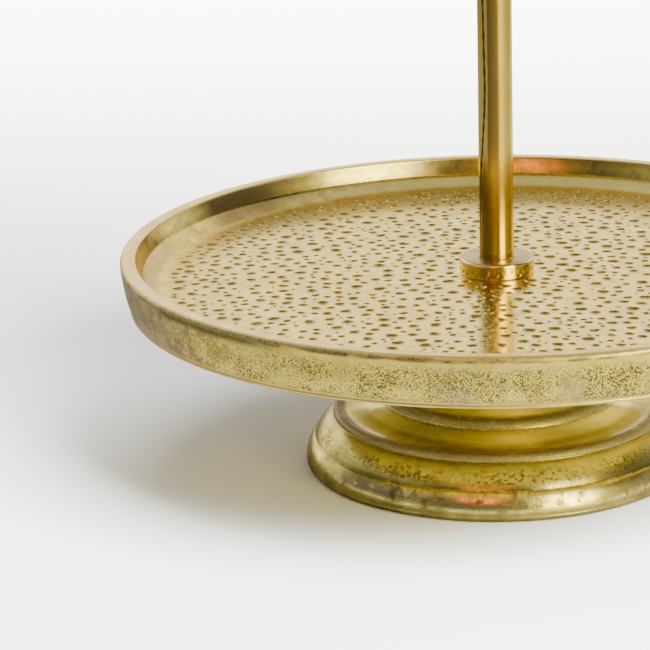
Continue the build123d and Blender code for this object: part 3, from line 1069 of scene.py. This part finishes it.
def tube_material():
    """Polished tube with a dark seam, a few long handling marks and painted shade on one side."""
    material, g = new_material("tube_gold")
    seam, wear = g.paint("seam"), g.paint("wear")
    cloud = g.noise(9, detail=4.0, roughness=0.6, stretch=(1.0, 1.0, 4.0))
    fine = g.noise(0.9, detail=3.0, roughness=0.6, stretch=(1.0, 1.0, 3.0))
    colour = g.mix(g.span(cloud, 0.35, 0.68), (0.93, 0.69, 0.12), (0.82, 0.58, 0.09))
    spots = g.span(g.noise(1.4, detail=4.0, roughness=0.65), 0.64, 0.72, 0.0, 0.6)
    _, z, cos, sin = g.polar()
    # Painted shade: the side past the seam is painted dark, more so low on the tube, standing in
    # for the dark it reflects.
    facing = g.plus(
        g.times(cos, math.cos(SEAM_ANGLE - SHADED_SIDE_TURN)),
        g.times(sin, math.sin(SEAM_ANGLE - SHADED_SIDE_TURN)),
        g.centred(cloud, 0.12),
    )
    shaded_side = g.times(g.span(facing, 0.45, 0.85), g.span(z, 120.0, 160.0, 0.85, 0.45))
    ragged = g.span(g.plus(seam, g.centred(fine, 0.35)), 0.35, 0.75)
    colour = g.layers(
        colour,
        (spots, (0.28, 0.20, 0.08)),
        (shaded_side, (0.21, 0.15, 0.055)),
        (g.times(ragged, 0.93), (0.055, 0.045, 0.025)),
        (g.times(wear, 0.5), (0.90, 0.68, 0.34)),
    )
    roughness = g.plus(
        g.span(cloud, 0.3, 0.7, 0.13, 0.22), g.times(ragged, 0.3), g.times(spots, 0.15)
    )
    height = g.plus(
        g.centred(g.noise(8, detail=1.0, stretch=(1.0, 1.0, 3.0)), 0.025),
        g.centred(fine, 0.004),
        g.times(spots, -0.02),
    )
    g.surface(colour, roughness, g.bump(height), edge=GOLD_EDGE)
    return material


def hardware(name, light, dark, rough, grain, metallic):
    """Plain metal or fibre for the parts inside: two tones, grain and fine marks."""
    material, g = new_material(name)
    patch = g.noise(3.5, detail=4.0, roughness=0.6)
    fine = g.noise(0.5, detail=3.0, roughness=0.6)
    turning = g.rings(0.2, length=1.5)
    colour = g.mix(g.span(patch, 0.35, 0.68), light, dark)
    colour = g.mix(g.span(fine, 0.55, 0.75, 0.0, 0.4), colour, tuple(0.6 * c for c in dark))
    roughness = g.span(patch, 0.3, 0.7, rough, rough + 0.15)
    height = g.plus(g.centred(fine, grain), g.centred(turning, grain * 0.7))
    g.surface(colour, roughness, g.bump(height), metallic)
    return material


# (light tone, deep tone, roughness, how strong the spots are)
POLISHED = {
    "collar_gold": ((0.85, 0.63, 0.11), (0.72, 0.52, 0.08), 0.13, 0.5),
    "handle_gold": ((0.84, 0.66, 0.16), (0.72, 0.54, 0.11), 0.17, 0.75),
}
# (light tone, dark tone, roughness, grain in mm, metallic)
HARDWARE = {
    "plug_brass": ((0.74, 0.55, 0.16), (0.60, 0.42, 0.11), 0.25, 0.006, 1.0),
    "zinc_steel": ((0.66, 0.67, 0.68), (0.52, 0.52, 0.50), 0.28, 0.006, 1.0),
    "washer_fibre": ((0.16, 0.11, 0.08), (0.09, 0.06, 0.045), 0.7, 0.03, 0.0),
    "pad_rubber": ((0.060, 0.060, 0.062), (0.035, 0.035, 0.036), 0.6, 0.02, 0.0),
}


def make_materials():
    """Every material by the name of its slot in the record."""
    materials = {
        "plate_gold": plate_material(),
        "foot_gold": foot_material(),
        "tube_gold": tube_material(),
    }
    materials.update((name, polished_gold(name, *look)) for name, look in POLISHED.items())
    materials.update((name, hardware(name, *look)) for name, look in HARDWARE.items())
    return materials


# --- The stand ---


def build_stand():
    """Builds every piece in place of its CAD node, and finishes the CAD nodes that stay."""
    materials = make_materials()
    slots = {p["node"]: p["material_slot"] for p in RECORD["subparts"]}
    bodies = RECORD["behaviour"]["bodies"]
    body_of = {node: body for body, nodes in bodies.items() for node in nodes}
    pieces = (
        plate("lower_plate", "lower_collar", 34.0, 192, SEED),
        plate("upper_plate", "upper_collar", 24.0, 160, SEED + 1),
        foot(),
        foot_pads(),
        base_bolt(),
        stem_collar("lower_collar"),
        stem_collar("upper_collar"),
        support_collar(),
        tube("lower_stem_tube", SEED + 11),
        tube("upper_stem_tube", SEED + 12),
        stud("joining_stud", COARSE_PITCH),
        stud("handle_stud", FINE_PITCH),
        handle_ferrule(),
        ring_handle(),
    )
    made = {obj.name.removesuffix(FINISHED): obj for obj in pieces}
    for node, obj in made.items():
        obj.data.materials.clear()
        obj.data.materials.append(materials[slots[node]])
        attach(obj, body_of[node])
        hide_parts(node)
    for node, obj in frame["nodes"].items():
        if node not in made:
            obj.data.materials.clear()
            obj.data.materials.append(materials[slots[node]])


# --- Floor, light and camera ---


def floor():
    """A large pale floor: to the camera it glows far away, and reflections show it dimmed."""
    verts, index = ring_grid([(radius, 0.0) for radius in FLOOR_RADII], 96)
    disc = make_object("stage_floor", verts, ring_faces(index, closed=False))
    if disc.data.polygons[0].normal.z < 0:
        disc.data.flip_normals()
    material, g = new_material("stage_paper")
    tone = g.mix(g.noise(600, detail=2.0), (0.80, 0.795, 0.785), (0.83, 0.825, 0.815))
    path = g.node("ShaderNodeLightPath").outputs
    tone = g.mix(g.times(path["Is Glossy Ray"], 0.7), tone, (0.0, 0.0, 0.0))
    radius, _, _, sine = g.polar()
    behind = g.span(g.times(radius, sine), 350, 1300, 0.0, 8.0)
    far = g.span(radius, 1000, 3200, 0.0, 8.0)
    glow = g.times(g.maths("MAXIMUM", behind, far), path["Is Camera Ray"])
    paper = {"Base Color": tone, "Roughness": 0.9}
    g.shade({**paper, "Emission Color": WHITE, "Emission Strength": glow})
    disc.data.materials.append(material)


def card(name, first, last, inner, tone):
    """A sector of dark floor seen only in reflections; angles run from the camera to its right."""
    steps = 24
    verts = []
    for radius in (inner, CARD_REACH):
        for i in range(steps + 1):
            x, y, _ = direction(first + (last - first) * i / steps, 0.0)
            verts.append((radius * x, radius * y, CARD_HEIGHT))
    near, far = range(steps + 1), range(steps + 1, 2 * steps + 2)
    faces = [[near[i], near[i + 1], far[i + 1], far[i]] for i in range(steps)]
    obj = make_object(name, verts, faces)
    material, g = new_material(name)
    grain = g.mix(g.noise(200, detail=2.0), tone, tuple(0.8 * c for c in tone))
    g.shade({"Base Color": grain, "Roughness": 0.9})
    obj.data.materials.append(material)
    obj.visible_camera = False
    obj.visible_diffuse = False
    obj.visible_shadow = False


def cards():
    """Darker floor all round but behind: the stem's dark middle, and the stand's dull sides."""
    card("stage_card_front", -58.0, 19.0, 420.0, (0.024, 0.021, 0.034))
    card("stage_card_warm", 19.0, 52.0, 420.0, (0.17, 0.145, 0.085))
    card("stage_card_right", 52.0, 115.0, 420.0, (0.10, 0.10, 0.115))
    card("stage_card_left", -155.0, -58.0, 300.0, (0.17, 0.17, 0.175))


def direction(azimuth, elevation):
    """A unit vector: azimuth 0 is the camera's side, and positive is to its right."""
    a, e = math.radians(azimuth), math.radians(elevation)
    return (math.sin(a) * math.cos(e), -math.cos(a) * math.cos(e), math.sin(e))


def world():
    """A studio to reflect: bright behind the stand, dim in front of it, with round soft lamps."""
    background = bpy.data.worlds.new("studio")
    bpy.context.scene.world = background
    background.use_nodes = True
    g = Graph(background.node_tree)
    look = g.node("ShaderNodeTexCoord").outputs["Generated"]
    x, y, z = g.node("ShaderNodeSeparateXYZ", {0: look}).outputs
    colour = g.layers(
        (0.13, 0.14, 0.19),
        (g.span(y, -0.25, 0.55), (2.4, 2.4, 2.4)),
        (g.span(z, 0.45, 0.92), (0.60, 0.60, 0.60)),
        (g.span(x, -0.55, -0.95, 0.0, 0.8), (0.45, 0.45, 0.45)),
        (g.span(x, 0.60, 0.95, 0.0, 0.7), (0.8, 0.8, 0.8)),
    )
    lamps = (
        (direction(40, 26), 0.955, 0.978, (9.5, 9.3, 8.5)),
        (direction(32, 12), 0.976, 0.991, (12.0, 11.7, 3.0)),
        (direction(41, 13), 0.965, 0.988, (14.0, 13.5, 3.5)),
        (direction(100, 17), 0.935, 0.975, (0.30, 0.30, 0.34)),
        (direction(-14, 34), 0.976, 0.990, (3.2, 0.9, 0.3)),
        (direction(67, 35), 0.988, 0.995, (0.50, 0.27, 0.13)),
        (direction(85, 38), 0.950, 0.980, (0.05, 0.04, 0.03)),
        (direction(-75, 40), 0.90, 0.96, (0.7, 0.7, 0.7)),
    )
    for aim, outer, inner, tint in lamps:
        node = g.node("ShaderNodeVectorMath", {0: look, 1: aim}, operation="DOT_PRODUCT")
        colour = g.mix(g.span(node.outputs["Value"], outer, inner), colour, tint)
    path = g.node("ShaderNodeLightPath")
    strength = g.maths("SUBTRACT", 1.0, g.times(path.outputs["Is Diffuse Ray"], 0.48))
    studio = g.node("ShaderNodeBackground", {"Color": colour, "Strength": strength})
    backdrop = g.node("ShaderNodeBackground", {"Color": WHITE, "Strength": 10.0})
    views = {0: path.outputs["Is Camera Ray"], 1: studio.outputs[0], 2: backdrop.outputs[0]}
    both = g.node("ShaderNodeMixShader", views)
    g.node("ShaderNodeOutputWorld", {"Surface": both.outputs[0]})


def area_light(name, aim, distance, size, power):
    """A square soft box that points at the lower plate and isn't reflected."""
    data = bpy.data.lights.new(name, "AREA")
    data.shape = "SQUARE"
    data.size = size
    data.energy = power
    lamp = bpy.data.objects.new(name, data)
    target = Vector((0.0, 0.0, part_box("lower_plate")[1].z))
    lamp.location = target + Vector(aim) * distance
    lamp.rotation_euler = (target - lamp.location).to_track_quat("-Z", "Y").to_euler()
    lamp.visible_glossy = False
    bpy.context.scene.collection.objects.link(lamp)


def lights():
    area_light("key_box", direction(38, 48), 1.7, 1.0, 235.0)
    area_light("top_box", direction(160, 75), 1.6, 1.2, 40.0)


def camera():
    """Close in on the lower plate from the front, a little left of centre and above it."""
    data = bpy.data.cameras.new("camera")
    data.sensor_width = 36.0
    data.lens = CAMERA_LENS
    obj = bpy.data.objects.new("camera", data)
    place = Matrix.Translation(CAMERA_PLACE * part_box("lower_plate")[1].x)
    tilt = Matrix.Rotation(math.pi / 2 - CAMERA_DOWN, 4, "X")
    roll = Matrix.Rotation(CAMERA_ROLL, 4, "Z")
    obj.matrix_world = place @ tilt @ roll
    bpy.context.scene.collection.objects.link(obj)
    bpy.context.scene.camera = obj


camera()
world()
lights()
floor()
cards()
build_stand()
